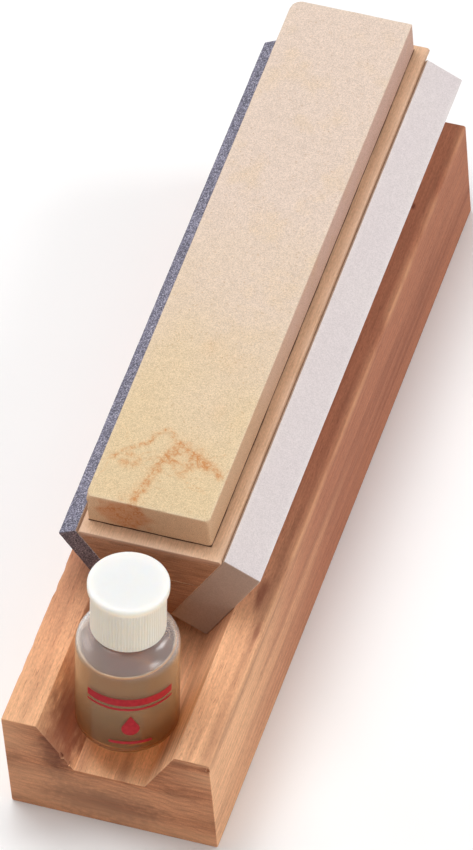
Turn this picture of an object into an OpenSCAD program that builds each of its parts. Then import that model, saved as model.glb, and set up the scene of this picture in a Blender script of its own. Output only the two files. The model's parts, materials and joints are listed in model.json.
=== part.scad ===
// Three-sided sharpening stone set on a wooden cradle, with its bottle of honing oil.
// Three bench stones are bonded to a triangular wooden core. The block lies loose in a
// trough cut along the cradle, one stone up, and the bottle stands in the trough's free end.
// Millimetres, +Z up, +Y along the trough away from the bottle, +X across it.
// The origin is the centre of the cradle's underside.

/* [Cradle] */
// Width of the cradle
cradle_w = 65; // [64:1:90]
// Length of the cradle
cradle_len = 254; // [250:1:300]
// Height of the cradle
cradle_h = 41.2; // [38:0.2:60]
// Depth of the trough below the top of the cradle
trough_depth = 18; // [14:0.5:20]
// Width of the flat floor of the trough
trough_floor_w = 22.2; // [20:0.2:24]
// Break on the long outer edges of the cradle
cradle_break = 0.5; // [0.2:0.1:1.5]

/* [Stone block] */
// Side of the core's triangular section
core_side = 46; // [44:0.5:48]
// Length of the core
core_len = 206.8; // [204:0.2:215]
// Distance from the cradle's near end to the core's near end
core_start = 56.6; // [54:0.2:64]
// Width of the flat that blunts each corner of the core
core_corner = 0.9; // [0.5:0.1:2]
// Thickness of each bed of adhesive
bed_t = 0.3; // [0.2:0.05:0.6]
// Gap between the block's lower stones and the sides of the trough
seat_gap = 0.1; // [0.05:0.05:0.3]
// Break on the edges of the stones
stone_break = 0.6; // [0.2:0.1:1.2]

/* [Top stone] */
// Width of the top stone
top_w = 38.6; // [36:0.1:40]
// Length of the top stone
top_len = 200; // [190:0.5:201]
// Thickness of the top stone
top_t = 12; // [6:0.1:14]
// Distance from the core's near end to the top stone
top_inset = 4.8; // [0:0.1:5.5]
// Sideways offset of the top stone from the middle of its face
top_shift = -1.3; // [-2:0.1:2]

/* [Right stone] */
// Width of the right stone
right_w = 38.1; // [36:0.1:38.5]
// Length of the right stone
right_len = 201.4; // [190:0.2:202]
// Thickness of the right stone
right_t = 12.5; // [6:0.1:14]
// Distance from the core's near end to the right stone
right_inset = 0.9; // [0:0.1:2]

/* [Left stone] */
// Width of the left stone
left_w = 38.1; // [36:0.1:38.5]
// Length of the left stone
left_len = 198.4; // [190:0.2:202]
// Thickness of the left stone
left_t = 6.4; // [6:0.1:14]
// Distance from the core's near end to the left stone
left_inset = 0; // [0:0.1:2]

/* [Bottle] */
// Radius of the bottle's body
bottle_r = 15.6; // [15:0.1:16.5]
// Height of the bottle with its cap
bottle_h = 60; // [58:0.5:66]
// Wall thickness of the bottle
bottle_wall = 1.1; // [0.9:0.1:1.5]
// Radius of the rounded heel
heel_r = 3.5; // [2.5:0.1:4.5]
// Distance from the cradle's near end to the middle of the bottle's base
bottle_start = 18.3; // [17:0.1:20]
// Lean of the bottle towards the stones, in degrees
lean_back = 6.5; // [0:0.5:8]
// Lean of the bottle to the right, in degrees
lean_side = 2.5; // [0:0.5:4]
// Height of the oil's level above the base of the bottle
oil_level = 35.2; // [15:0.2:36]
// Direction that the printed mark faces, in degrees from -Y towards +X
mark_turn = 22; // [-180:1:180]

/* [Cap] */
// Height of the cap
cap_h = 18.6; // [17:0.1:19]
// Radius of the cap's ribbed skirt
cap_r = 11.3; // [11.2:0.05:12]
// Radius of the rim round the top of the cap
rim_r = 12.2; // [12:0.1:13]
// Height of the rim
rim_h = 2.6; // [2:0.1:4]
// Number of ribs round the skirt
ribs = 80; // [40:1:100]
// Height of each rib
rib_depth = 0.25; // [0.1:0.05:0.3]

/* [Hidden] */
$fn = 96;

// Cradle
floor_z = cradle_h - trough_depth;
floor_half = trough_floor_w / 2;
trough_half = floor_half + trough_depth / tan(60);
near_y = -cradle_len / 2;

// Stone block: the lower stones lie on the two 60 degree sides of the trough
core_inradius = core_side / (2 * sqrt(3));
right_stack = bed_t + right_t + seat_gap;
left_stack = bed_t + left_t + seat_gap;
core_x = -(right_stack - left_stack) / sqrt(3);
core_z = 2 * core_inradius + right_stack + left_stack + floor_z - floor_half * sqrt(3);
core_y = near_y + core_start;
top_x = top_shift;
right_x = (right_w - core_side) / 2;
left_x = (core_side - left_w) / 2;

// Bottle: its heel touches the sides of the trough, clear of the floor
heel_gap = 0.25;
heel_mid_r = bottle_r - heel_r;
lean_drop = heel_mid_r * sin(lean_side) + 2 * heel_r * (1 - cos(lean_back));
heel_rise = 2 * (heel_r + heel_gap + (heel_mid_r - floor_half) * sin(60)) - heel_r + lean_drop;
bottle_y = near_y + bottle_start;
bottle_z = floor_z + heel_rise;
base_t = 1.4;
push_up = 0.7;

// Neck, plug, liner and thread, measured from the base of the bottle
cap_bottom = bottle_h - cap_h;
cap_top_t = 1.6;
liner_t = 1;
plug_flange_t = 0.8;
liner_gap = 0.1;
neck_top = bottle_h - cap_top_t - liner_t - 2 * liner_gap - plug_flange_t;
neck_r = 8.9;
neck_bore_r = 7.6;
shoulder_z = cap_bottom - 8;
neck_z = cap_bottom - 0.5;
pitch = 3.175;
thread_h = 1;
thread_turns = 1.25;
thread_z = neck_top - 7.6;
cap_bore_r = 10.3;
cap_thread_turns = 1.1;
cap_thread_z = thread_z - pitch / 2;
plug_depth = 6;
orifice_r = 0.8;
print_t = 0.08;

// Points on an ellipse's arc, for outlines
function arc(cx, cy, rx, ry, from, to, n) =
  [for (i = [0:n]) let (a = from + (to - from) * i / n) [cx + rx * cos(a), cy + ry * sin(a)]];

// A box lying along +Y from y = 0, on z = 0, with its four long edges broken
module bar(width, length, height, edge) {
  h = width / 2;
  rotate([-90, 0, 0])
    mirror([0, 1, 0])
      linear_extrude(length)
        polygon([
          [edge - h, 0], [h - edge, 0], [h, edge], [h, height - edge],
          [h - edge, height], [edge - h, height], [-h, height - edge], [-h, edge]
        ]);
}

// The frame of one face of the core: z = 0 on the face, y = 0 at the core's near end
module on_face(turn) {
  translate([core_x, core_y, core_z])
    rotate([0, turn, 0])
      translate([0, 0, core_inradius])
        children();
}

module stone(turn, shift, inset, width, length, height) {
  on_face(turn)
    translate([shift, inset, bed_t])
      bar(width, length, height, stone_break);
}

module adhesive(turn, shift, inset, width, length) {
  margin = 1.2;
  on_face(turn)
    translate([shift - width / 2 + margin, inset + margin, 0])
      cube([width - 2 * margin, length - 2 * margin, bed_t]);
}

// The frame of the bottle: z along its axis from the middle of its base
module in_bottle() {
  translate([0, bottle_y, bottle_z])
    rotate([-lean_back, lean_side, 0])
      children();
}

// A ridge wound round z: from root_r to crest_r, fading out at both ends
module ridge(root_r, crest_r, turns) {
  steps = round(turns * 40);
  fade = 6;
  half_root = 0.75;
  half_crest = 0.3;
  sunk = 0.15 * sign(crest_r - root_r);
  points = [
    for (i = [0:steps])
      let (
        a = 360 * turns * i / steps,
        lift = pitch * turns * i / steps,
        grown = min(1, i / fade, (steps - i) / fade),
        crest = root_r + (crest_r - root_r) * grown
      )
      for (p = [
        [root_r - sunk, -half_root], [crest, -half_crest],
        [crest, half_crest], [root_r - sunk, half_root]
      ])
        [p[0] * cos(a), p[0] * sin(a), lift + p[1]]
  ];
  sides = [
    for (i = [0:steps - 1])
      for (k = [0:3])
        let (a = 4 * i + k, b = 4 * i + (k + 1) % 4)
          [a, b, b + 4, a + 4]
  ];
  quads = concat([[3, 2, 1, 0]], sides, [[for (k = [0:3]) 4 * steps + k]]);
  inward = crest_r < root_r;
  faces = inward ? [for (q = quads) [for (k = [3:-1:0]) q[k]]] : quads;
  polyhedron(points, faces, convexity = 6);
}

module cradle() {
  w = cradle_w / 2;
  e = cradle_break;
  color("peru")
    translate([0, -near_y, 0])
      rotate([90, 0, 0])
        linear_extrude(cradle_len)
          polygon([
            [e - w, 0], [w - e, 0], [w, e], [w, cradle_h - e], [w - e, cradle_h],
            [trough_half, cradle_h], [floor_half, floor_z],
            [-floor_half, floor_z], [-trough_half, cradle_h],
            [e - w, cradle_h], [-w, cradle_h - e], [-w, e]
          ]);
}

module stone_core() {
  circumradius = 2 * core_inradius;
  corner_r = circumradius - core_corner;
  half_flat = core_corner * tan(30);
  color("sandybrown")
    translate([core_x, core_y + core_len, core_z])
      rotate([90, 0, 0])
        linear_extrude(core_len)
          polygon([
            for (turn = [30, 150, 270])
              for (side = [-1, 1])
                [
                  corner_r * cos(turn) - side * half_flat * sin(turn),
                  corner_r * sin(turn) + side * half_flat * cos(turn)
                ]
          ]);
}

module top_stone() {
  color("wheat") stone(0, top_x, top_inset, top_w, top_len, top_t);
}

module right_stone() {
  color("lavenderblush") stone(120, right_x, right_inset, right_w, right_len, right_t);
}

module left_stone() {
  color("dimgray") stone(-120, left_x, left_inset, left_w, left_len, left_t);
}

module top_adhesive() {
  color("saddlebrown") adhesive(0, top_x, top_inset, top_w, top_len);
}

module right_adhesive() {
  color("saddlebrown") adhesive(120, right_x, right_inset, right_w, right_len);
}

module left_adhesive() {
  color("saddlebrown") adhesive(-120, left_x, left_inset, left_w, left_len);
}

// Half outline of the space inside the bottle, up to the top of the neck
function bottle_inside() =
  let (r = bottle_r - bottle_wall, heel = heel_r - bottle_wall)
  concat(
    [[0, base_t + push_up]],
    [[r - heel - 1, base_t + push_up]],
    arc(r - heel, base_t + heel, heel, heel, -90, 0, 8),
    arc(neck_bore_r, shoulder_z, r - neck_bore_r, neck_z - shoulder_z - bottle_wall, 0, 90, 14),
    [[neck_bore_r, neck_top]],
    [[0, neck_top]]
  );

module bottle() {
  outside = concat(
    [[0, push_up]],
    [[heel_mid_r - 1.2, push_up]],
    arc(heel_mid_r, heel_r, heel_r, heel_r, -90, 0, 8),
    arc(neck_r, shoulder_z, bottle_r - neck_r, neck_z - shoulder_z, 0, 90, 14),
    [[neck_r, neck_top]],
    [[0, neck_top]]
  );
  color("burlywood", 0.6)
    in_bottle() {
      difference() {
        rotate_extrude() polygon(outside);
        rotate_extrude() polygon(bottle_inside());
        translate([0, 0, neck_top - 1]) cylinder(r = neck_bore_r, h = 2);
      }
      translate([0, 0, thread_z]) ridge(neck_r, neck_r + thread_h, thread_turns);
    }
}

// The oil fills the bottle up to a level surface, whatever the bottle's lean
module honing_oil() {
  reach = 2 * bottle_r;
  color("darkgoldenrod", 0.7)
    intersection() {
      in_bottle() rotate_extrude() polygon(bottle_inside());
      translate([-reach, bottle_y - reach, bottle_z - reach])
        cube([2 * reach, 2 * reach, reach + oil_level]);
    }
}

// The plug pressed into the neck, with a small hole that lets the oil out in drops
module orifice_plug() {
  skirt_r = 5.6;
  web_t = 1.2;
  color("white")
    in_bottle()
      difference() {
        union() {
          translate([0, 0, neck_top]) cylinder(r = neck_r, h = plug_flange_t);
          translate([0, 0, neck_top - plug_depth]) cylinder(r = neck_bore_r, h = plug_depth);
        }
        translate([0, 0, neck_top - plug_depth - 1])
          cylinder(r = skirt_r, h = plug_depth + plug_flange_t - web_t + 1);
        translate([0, 0, neck_top - 2]) cylinder(r = orifice_r, h = 4);
      }
}

// A band of the print that wraps round the body between two heights
module print_band(low, high, half_angle) {
  rotate([0, 0, -90 + mark_turn - half_angle])
    rotate_extrude(angle = 2 * half_angle)
      translate([bottle_r, low])
        square([print_t, high - low]);
}

// Generic print on the front of the body: two bands, a drop and a short rule
module printed_mark() {
  drop_r = 2.7;
  drop_z = 12.6;
  drop_tip = 18.2;
  tangent = acos(drop_r / (drop_tip - drop_z));
  color("firebrick")
    in_bottle() {
      print_band(22.6, 25.4, 52);
      print_band(20.6, 21.4, 52);
      print_band(6, 7, 24);
      intersection() {
        difference() {
          cylinder(r = bottle_r + print_t, h = cap_bottom);
          translate([0, 0, -1]) cylinder(r = bottle_r, h = cap_bottom + 2);
        }
        rotate([90, 0, mark_turn])
          linear_extrude(2 * bottle_r)
            polygon(concat(
              arc(0, drop_z, drop_r, drop_r, 90 + tangent, 450 - tangent, 24),
              [[0, drop_tip]]
            ));
      }
    }
}

module cap_liner() {
  liner_r = 10.1;
  color("gainsboro")
    in_bottle()
      translate([0, 0, bottle_h - cap_top_t - liner_gap - liner_t])
        cylinder(r = liner_r, h = liner_t);
}

module screw_cap() {
  rim_round = 0.8;
  flare = 0.9;
  flare_r = cap_r + 0.1;
  crest_r = cap_bore_r - thread_h;
  rim_z = bottle_h - rim_h;
  skirt_top = rim_z - flare;
  color("white")
    in_bottle() {
      translate([0, 0, cap_bottom])
        linear_extrude(skirt_top - cap_bottom)
          difference() {
            polygon([
              for (i = [0:2 * ribs - 1])
                let (a = 180 * i / ribs, r = cap_r - rib_depth * (i % 2))
                  [r * cos(a), r * sin(a)]
            ]);
            circle(r = cap_bore_r);
          }
      rotate_extrude()
        polygon(concat(
          [[cap_bore_r, skirt_top], [flare_r, skirt_top], [rim_r, rim_z]],
          arc(rim_r - rim_round, bottle_h - rim_round, rim_round, rim_round, 0, 90, 6),
          [[0, bottle_h], [0, bottle_h - cap_top_t], [cap_bore_r, bottle_h - cap_top_t]]
        ));
      translate([0, 0, cap_thread_z]) ridge(cap_bore_r, crest_r, cap_thread_turns);
    }
}

cradle();
stone_core();
top_stone();
right_stone();
left_stone();
top_adhesive();
right_adhesive();
left_adhesive();
bottle();
honing_oil();
orifice_plug();
printed_mark();
cap_liner();
screw_cap();
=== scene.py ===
"""Looks of the three-sided sharpening stone set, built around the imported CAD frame.

Each piece is modelled in millimetres in a frame of its own, then placed in the row frame in
metres. Its material reads the piece's own object coordinates, so it moves with the piece.
"""

import json
import math
import random

import bmesh
import bpy
import numpy as np
from mathutils import Matrix, Vector, noise
from mathutils.geometry import tessellate_polygon


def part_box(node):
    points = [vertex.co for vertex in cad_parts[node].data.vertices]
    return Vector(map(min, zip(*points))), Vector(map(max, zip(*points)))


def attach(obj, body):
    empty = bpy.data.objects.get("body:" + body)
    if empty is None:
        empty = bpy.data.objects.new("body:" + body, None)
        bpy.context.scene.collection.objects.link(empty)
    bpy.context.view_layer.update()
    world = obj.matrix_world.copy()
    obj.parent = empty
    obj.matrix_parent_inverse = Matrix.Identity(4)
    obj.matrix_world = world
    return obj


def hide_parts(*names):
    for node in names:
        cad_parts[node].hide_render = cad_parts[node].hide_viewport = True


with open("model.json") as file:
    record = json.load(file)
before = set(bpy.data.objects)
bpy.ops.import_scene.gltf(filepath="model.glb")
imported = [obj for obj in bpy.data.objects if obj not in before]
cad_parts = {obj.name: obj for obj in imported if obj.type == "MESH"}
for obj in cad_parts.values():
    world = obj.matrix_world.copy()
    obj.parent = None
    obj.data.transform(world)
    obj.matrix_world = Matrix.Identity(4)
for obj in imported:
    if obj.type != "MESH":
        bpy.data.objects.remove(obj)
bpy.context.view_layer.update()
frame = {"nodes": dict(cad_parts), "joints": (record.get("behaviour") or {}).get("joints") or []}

MM = 0.001
SHARP_ABOVE = 35  # degrees between two faces that still shade smoothly into each other
scene = bpy.context.scene


# ---- materials


def colour(red, green, blue):
    """A colour from 0 to 255 on each channel as a display shows it, in linear light."""
    linear = [
        c / 12.92 if c <= 0.04045 else ((c + 0.055) / 1.055) ** 2.4
        for c in (red / 255, green / 255, blue / 255)
    ]
    return (*linear, 1.0)


class Surface:
    """A Principled material and the nodes that feed it. Lengths are in millimetres."""

    def __init__(self, name, sockets):
        self.material = bpy.data.materials.new(name)
        self.material.use_nodes = True
        self.nodes = self.material.node_tree.nodes
        self.links = self.material.node_tree.links
        self.shader = self.nodes["Principled BSDF"]
        for socket, value in sockets.items():
            self.shader.inputs[socket].default_value = value
        where = self.add("ShaderNodeTexCoord")
        self.normal = where.outputs["Normal"]
        self.place = self.vector("MULTIPLY", where.outputs["Object"], (1 / MM,) * 3)
        self.relief = None

    def add(self, kind, inputs=None, **settings):
        node = self.nodes.new(kind)
        for key, value in settings.items():
            setattr(node, key, value)
        for socket, value in (inputs or {}).items():
            self.feed(node.inputs[socket], value)
        return node

    def feed(self, socket, value):
        if isinstance(value, bpy.types.NodeSocket):
            self.links.new(value, socket)
        else:
            socket.default_value = value

    def vector(self, operation, a, b):
        return self.add("ShaderNodeVectorMath", {0: a, 1: b}, operation=operation).outputs[0]

    def math(self, operation, a, b=0.0):
        return self.add("ShaderNodeMath", {0: a, 1: b}, operation=operation).outputs[0]

    def axes(self, vector):
        return self.add("ShaderNodeSeparateXYZ", {0: vector}).outputs

    def noise(self, size, stretch=(1, 1, 1), detail=2.0):
        """Noise from 0 to 1 with features about `size` across, drawn out by `stretch`."""
        at = self.vector("DIVIDE", self.place, tuple(size * s for s in stretch))
        inputs = {"Vector": at, "Scale": 1.0, "Detail": detail}
        return self.add("ShaderNodeTexNoise", inputs).outputs["Fac"]

    def cells(self, size, warp):
        """Distance from the walls of irregular cells about `size` across."""
        waver = self.vector("MULTIPLY", self.noise(size * 1.4), (warp, -warp, warp))
        at = self.vector("DIVIDE", self.vector("ADD", self.place, waver), (size,) * 3)
        inputs = {"Vector": at, "Scale": 1.0}
        node = self.add("ShaderNodeTexVoronoi", inputs, feature="DISTANCE_TO_EDGE")
        return node.outputs["Distance"]

    def span(self, value, low, high):
        """0 where value is below low, 1 above high, and a smooth step between them."""
        inputs = {"Value": value, "From Min": low, "From Max": high}
        kind = "SMOOTHSTEP"
        return self.add("ShaderNodeMapRange", inputs, interpolation_type=kind).outputs[0]

    def ramp(self, value, stops):
        """A grey or coloured ramp through (position, colour or grey level) stops."""
        node = self.add("ShaderNodeValToRGB", {0: value})
        elements = node.color_ramp.elements
        while len(elements) < len(stops):
            elements.new(1.0)
        for element, (position, level) in zip(elements, stops):
            element.position = position
            element.color = level if isinstance(level, tuple) else (level, level, level, 1)
        return node.outputs[0]

    def mix(self, amount, a, b, mode="MIX"):
        node = self.add("ShaderNodeMix", data_type="RGBA", blend_type=mode)
        for index, value in ((0, amount), (6, a), (7, b)):
            self.feed(node.inputs[index], value)
        return node.outputs[2]

    def tint(self, base, by):
        """The base colour multiplied by another colour or by a ramp's shade."""
        return self.mix(1.0, base, by, "MULTIPLY")

    def inverse(self, value):
        return self.math("SUBTRACT", 1.0, value)

    def times(self, value, factor):
        return self.math("MULTIPLY", value, factor)

    def facing(self, axis, low, high):
        """0 to 1 as the surface turns to face along an axis, either way."""
        return self.span(self.math("ABSOLUTE", self.axes(self.normal)[axis]), low, high)

    def attribute(self, name):
        return self.add("ShaderNodeAttribute", attribute_name=name).outputs["Fac"]

    def raise_by(self, height, depth):
        """Adds relief: `height` from 0 to 1 stands up to `depth` proud of the surface."""
        inputs = {"Height": height, "Distance": depth * MM, "Strength": 1.0}
        if self.relief:
            inputs["Normal"] = self.relief
        self.relief = self.add("ShaderNodeBump", inputs).outputs[0]

    def finish(self, base, roughness):
        self.feed(self.shader.inputs["Base Color"], base)
        self.feed(self.shader.inputs["Roughness"], roughness)
        if self.relief:
            self.feed(self.shader.inputs["Normal"], self.relief)
        return self.material


def scaled(surface, value, low, high):
    """Maps 0..1 onto low..high."""
    return surface.math("ADD", surface.times(value, high - low), low)


def stone_grain(s, base, fine, fine_depth, coarse, coarse_depth):
    """Lightens and darkens a base colour in fine grains and in softer, larger patches."""
    for size, detail, depth in ((fine, 1.0, fine_depth), (coarse, 3.0, coarse_depth)):
        pattern = s.noise(size, detail=detail)
        base = s.tint(base, s.ramp(pattern, [(0.3, 1 - depth), (0.7, 1 + depth)]))
    return base


def cream_stone():
    """Fine cream sandstone-like stone: yellow near one end, pinker at the other, with veins."""
    s = Surface("cream_stone", {"Specular IOR Level": 0.3})
    along = s.axes(s.place)["Y"]
    reach = s.math("ADD", along, s.times(s.noise(34), 70.0))
    yellow, pink = colour(214, 190, 152), colour(213, 193, 178)
    base = s.mix(s.span(reach, -60.0, 62.0), yellow, pink)
    cloud = s.span(s.noise(11, detail=4.0), 0.5, 0.72)
    base = s.mix(s.times(cloud, 0.25), base, colour(216, 188, 148))
    base = stone_grain(s, base, fine=0.34, fine_depth=0.17, coarse=2.6, coarse_depth=0.03)
    speck = s.span(s.noise(0.7, detail=1.0), 0.66, 0.72)
    base = s.mix(s.times(speck, 0.35), base, colour(176, 136, 96))

    stain = s.attribute("stain")
    upright = s.inverse(s.math("ABSOLUTE", s.axes(s.normal)["Z"]))
    hairs = s.inverse(s.span(s.cells(1.1, warp=3.0), 0.03, 0.28))
    cracks = s.inverse(s.span(s.cells(2.0, warp=4.5), 0.02, 0.2))
    cracks = s.math("MAXIMUM", cracks, s.times(hairs, 0.55))
    cracks = s.times(cracks, s.span(s.noise(2.4, detail=3.0), 0.36, 0.6))
    speckle = s.span(s.noise(1.0, detail=4.0), 0.5, 0.72)
    core = s.times(s.span(stain, 0.5, 0.85), speckle)
    cracks = s.math("MAXIMUM", cracks, core)
    cracks = s.math("MAXIMUM", cracks, s.times(upright, s.noise(0.9, detail=3.0)))
    base = s.mix(s.times(stain, 0.28), base, colour(208, 158, 108))
    rusty = s.times(s.span(stain, 0.05, 0.9), cracks)
    base = s.mix(rusty, base, colour(196, 134, 80))

    base = s.mix(s.times(s.attribute("edge"), 0.35), base, colour(232, 214, 188))
    base = s.mix(upright, base, s.tint(base, colour(240, 218, 214)))
    s.raise_by(s.noise(0.4), 0.05)
    s.raise_by(s.noise(3.0, detail=3.0), 0.06)
    return s.finish(base, scaled(s, s.noise(1.5), 0.72, 0.92))


def white_stone():
    """Smooth white stone with a faint lavender cast and sparse specks."""
    s = Surface("white_stone", {"Specular IOR Level": 0.35})
    base = s.mix(s.noise(22), colour(207, 197, 198), colour(211, 202, 200))
    base = stone_grain(s, base, fine=0.4, fine_depth=0.09, coarse=2.5, coarse_depth=0.015)
    speck = s.span(s.noise(0.8, detail=1.0), 0.68, 0.74)
    base = s.mix(s.times(speck, 0.3), base, colour(186, 172, 170))
    base = s.mix(s.times(s.attribute("edge"), 0.5), base, colour(238, 232, 228))
    # Painted shade: the end faces are darkened and browned, as if in shade and lit by light bounced
    # off the wood.
    base = s.mix(s.facing("Y", 0.4, 0.9), base, s.tint(base, colour(204, 180, 160)))
    s.raise_by(s.noise(0.35), 0.03)
    return s.finish(base, scaled(s, s.noise(2.0), 0.6, 0.8))


def grey_stone():
    """Coarse dark abrasive: grains of grey, blue-grey and pale crystal."""
    s = Surface("grey_stone", {"Specular IOR Level": 0.5})
    grains = s.noise(0.42, detail=1.5)
    stops = [
        (0.34, colour(74, 74, 86)),
        (0.5, colour(122, 120, 138)),
        (0.6, colour(146, 143, 162)),
        (0.7, colour(200, 198, 212)),
    ]
    base = s.ramp(grains, stops)
    base = s.tint(base, s.ramp(s.noise(3.5, detail=3.0), [(0.3, 0.86), (0.7, 1.1)]))
    # Painted shade: the end faces are darkened and browned, as if in shade and lit by light bounced
    # off the wood.
    base = s.mix(s.facing("Y", 0.4, 0.9), base, s.tint(base, colour(206, 178, 164)))
    s.raise_by(grains, 0.12)
    return s.finish(base, scaled(s, grains, 0.75, 0.5))


def wood(name, tones, period, lean, tone_and_shade_along, knots_and_shade=()):
    """Wood with its grain along Y. `tones` are its light, middle, dark and streak colours.
    Growth rings are `period` apart and rise by `lean` across the width. The argument after
    `lean` darkens it along Y, partly the wood's own tone and partly painted shade of the stone
    block.
    The knots are (centre, half lengths, strength, on_level) of places where the grain swirls
    darker, and also of painted shade and painted shadow on sloping faces; none shows on level faces
    unless on_level."""
    s = Surface(name, {"Specular IOR Level": 0.25})
    light, middle, dark, streak = (colour(*tone) for tone in tones)
    x, y, z = s.axes(s.place)
    end = s.facing("Y", 0.5, 0.95)
    drift = s.times(s.noise(24, (1, 14, 1)), 13.0)
    ripple = s.times(s.noise(6, (1, 14, 1), 3.0), 2.2)
    depth = s.math("ADD", z, s.times(x, lean))
    depth = s.math("ADD", s.math("ADD", depth, drift), ripple)
    ring = s.math("FRACT", s.math("DIVIDE", depth, period))
    late = s.ramp(ring, [(0.0, 0.1), (0.45, 0.2), (0.86, 1.0), (1.0, 0.15)])

    # Darker along Y: partly the wood's own tone, partly painted shade of the stone block.
    tone = s.math("ADD", s.times(y, tone_and_shade_along), s.noise(30, (1, 9, 1), 3.0))
    base = s.mix(s.span(tone, -0.04, 0.5), light, middle)
    clarity = s.math("MAXIMUM", s.times(s.noise(13, (1, 7, 1)), 0.5), s.times(end, 0.36))
    base = s.mix(s.times(late, clarity), base, dark)
    bands = s.span(s.noise(7, (1, 22, 1), 3.0), 0.5, 0.72)
    bands = s.times(bands, scaled(s, end, 0.42, 0.3))
    base = s.mix(bands, base, streak)
    fibre = s.noise(0.45, (1, 40, 1), 3.0)
    base = s.tint(base, s.ramp(fibre, [(0.3, 0.88), (0.7, 1.1)]))
    flecks = s.noise(0.38, (1, 3, 1), 1.0)
    base = s.tint(base, s.ramp(flecks, [(0.3, 0.9), (0.7, 1.09)]))
    pores = s.span(s.noise(0.34, (1, 12, 1), 1.0), 0.63, 0.72)
    base = s.mix(s.times(pores, 0.35), base, streak)

    sloping = s.inverse(s.span(s.axes(s.normal)["Z"], 0.7, 0.95))
    # Each entry darkens towards the streak colour. The entries kept off level faces are not knots:
    # they are painted shade and painted shadow on the sloping faces.
    for centre, size, strength, on_level in knots_and_shade:
        apart = s.vector("DIVIDE", s.vector("SUBTRACT", s.place, centre), size)
        reach = s.add("ShaderNodeVectorMath", {0: apart}, operation="LENGTH").outputs["Value"]
        reach = s.math("ADD", reach, s.noise(2.2, (1, 2.5, 1), 3.0))
        swirl = s.times(s.inverse(s.span(reach, 0.75, 1.5)), strength)
        if not on_level:
            swirl = s.times(swirl, sloping)
        base = s.mix(swirl, base, streak)

    sawn = s.ramp(s.noise(0.8, (10, 1, 1), 3.0), [(0.32, 0.72), (0.66, 1.16)])
    # End faces darker: partly the real darker end grain, partly painted shade on faces turned from
    # the light.
    darkened_with_painted_shade = s.tint(s.tint(base, colour(192, 164, 150)), sawn)
    base = s.mix(end, base, darkened_with_painted_shade)
    base = s.mix(s.times(s.attribute("edge"), 0.6), base, light)
    s.raise_by(fibre, 0.05)
    s.raise_by(late, 0.03)
    s.raise_by(s.inverse(pores), 0.04)
    return s.finish(base, scaled(s, fibre, 0.5, 0.75))


def cradle_wood():
    """Reddish wood with knots on its lands and near end, painted shade along the trough's left
    slope and a painted shadow of the bottle on that slope beside it.
    """
    tones = (240, 184, 140), (188, 122, 92), (152, 88, 64), (128, 70, 52)
    knots_and_shade = [
        ((27.6, -63, 41.2), (2.4, 8, 4), 0.75, True),
        ((30.6, -76, 41.2), (1.3, 9, 4), 0.6, True),
        ((26.5, 92, 41.2), (1, 2, 3), 0.9, True),
        ((-22.5, -92.5, 43), (0.8, 2.2, 2.5), 0.6, True),
        ((-4, -127, 9), (27, 3, 11), 0.8, True),
        # Painted shadow of the bottle on the trough's left slope beside it.
        ((-15.5, -116, 30), (8, 15, 13), 0.7, False),
        # Painted shade along the whole of the trough's left slope.
        ((-16.5, -60, 33), (8, 400, 26), 0.65, False),
    ]
    # The darkening along Y is partly the wood's own tone, partly painted shade cast by the stone
    # block.
    return wood("cradle_wood", tones, period=2.3, lean=0.12, tone_and_shade_along=0.0048, knots_and_shade=knots_and_shade)


def core_wood():
    tones = (234, 202, 178), (218, 178, 144), (192, 146, 112), (170, 124, 92)
    return wood("core_wood", tones, period=3.1, lean=-0.2, tone_and_shade_along=0.0)


def adhesive(name, dark, light):
    """Set glue, mottled between two tones."""
    s = Surface(name, {"Specular IOR Level": 0.4})
    base = s.mix(s.noise(2.2, detail=3.0), dark, light)
    s.raise_by(s.noise(0.9, detail=3.0), 0.12)
    return s.finish(base, scaled(s, s.noise(1.3), 0.3, 0.6))


def see_through(s, straight, grazing):
    """Lets lamps light what lies behind the piece, least where its surface would bend their
    light away."""
    output = s.nodes["Material Output"]
    facing = s.add("ShaderNodeLayerWeight", {"Blend": 0.5}).outputs["Facing"]
    tint = s.ramp(facing, [(0.05, straight), (0.6, grazing)])
    clear = s.add("ShaderNodeBsdfTransparent", {"Color": tint})
    shadow = s.add("ShaderNodeLightPath").outputs["Is Shadow Ray"]
    inputs = {0: shadow, 1: s.shader.outputs[0], 2: clear.outputs[0]}
    s.feed(output.inputs["Surface"], s.add("ShaderNodeMixShader", inputs).outputs[0])
    return s.material


def bottle_plastic():
    """Cloudy natural plastic, stained by the oil inside it, clearer above the oil and darkened
    towards the bottom with painted shade.
    """
    sockets = {"Transmission Weight": 0.88, "IOR": 1.45, "Specular IOR Level": 0.5}
    s = Surface("bottle_plastic", sockets)
    haze = s.noise(7, detail=3.0)
    height = s.axes(s.place)["Z"]
    stained_and_shaded = s.mix(haze, colour(232, 204, 160), colour(238, 212, 172))
    # Painted shade: the wall turns darker brown towards the bottom.
    stained_and_shaded = s.mix(s.span(height, 0.0, 24.0), colour(198, 142, 82), stained_and_shaded)
    base = s.mix(s.span(height, 32.0, 36.5), stained_and_shaded, colour(252, 248, 246))
    s.raise_by(s.noise(5.0, (1, 1, 2)), 0.06)
    s.finish(base, scaled(s, haze, 0.15, 0.25))
    return see_through(s, straight=colour(250, 248, 244), grazing=colour(214, 206, 196))


def oil():
    """Amber honing oil, darkened towards the bottom with painted shade."""
    s = Surface("oil", {"Transmission Weight": 0.96, "IOR": 1.47})
    swirl = s.noise(9)
    # Painted shade: the oil darkens towards the bottom, standing in for the longer path through it
    # and the shaded side of the bottle.
    low, high = colour(78, 36, 8), colour(234, 158, 48)
    base = s.mix(s.span(s.axes(s.place)["Z"], 2.0, 30.0), low, high)
    base = s.mix(s.times(swirl, 0.4), base, colour(232, 172, 84))
    s.finish(base, scaled(s, swirl, 0.02, 0.07))
    return see_through(s, straight=colour(255, 238, 202), grazing=colour(128, 98, 72))


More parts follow.
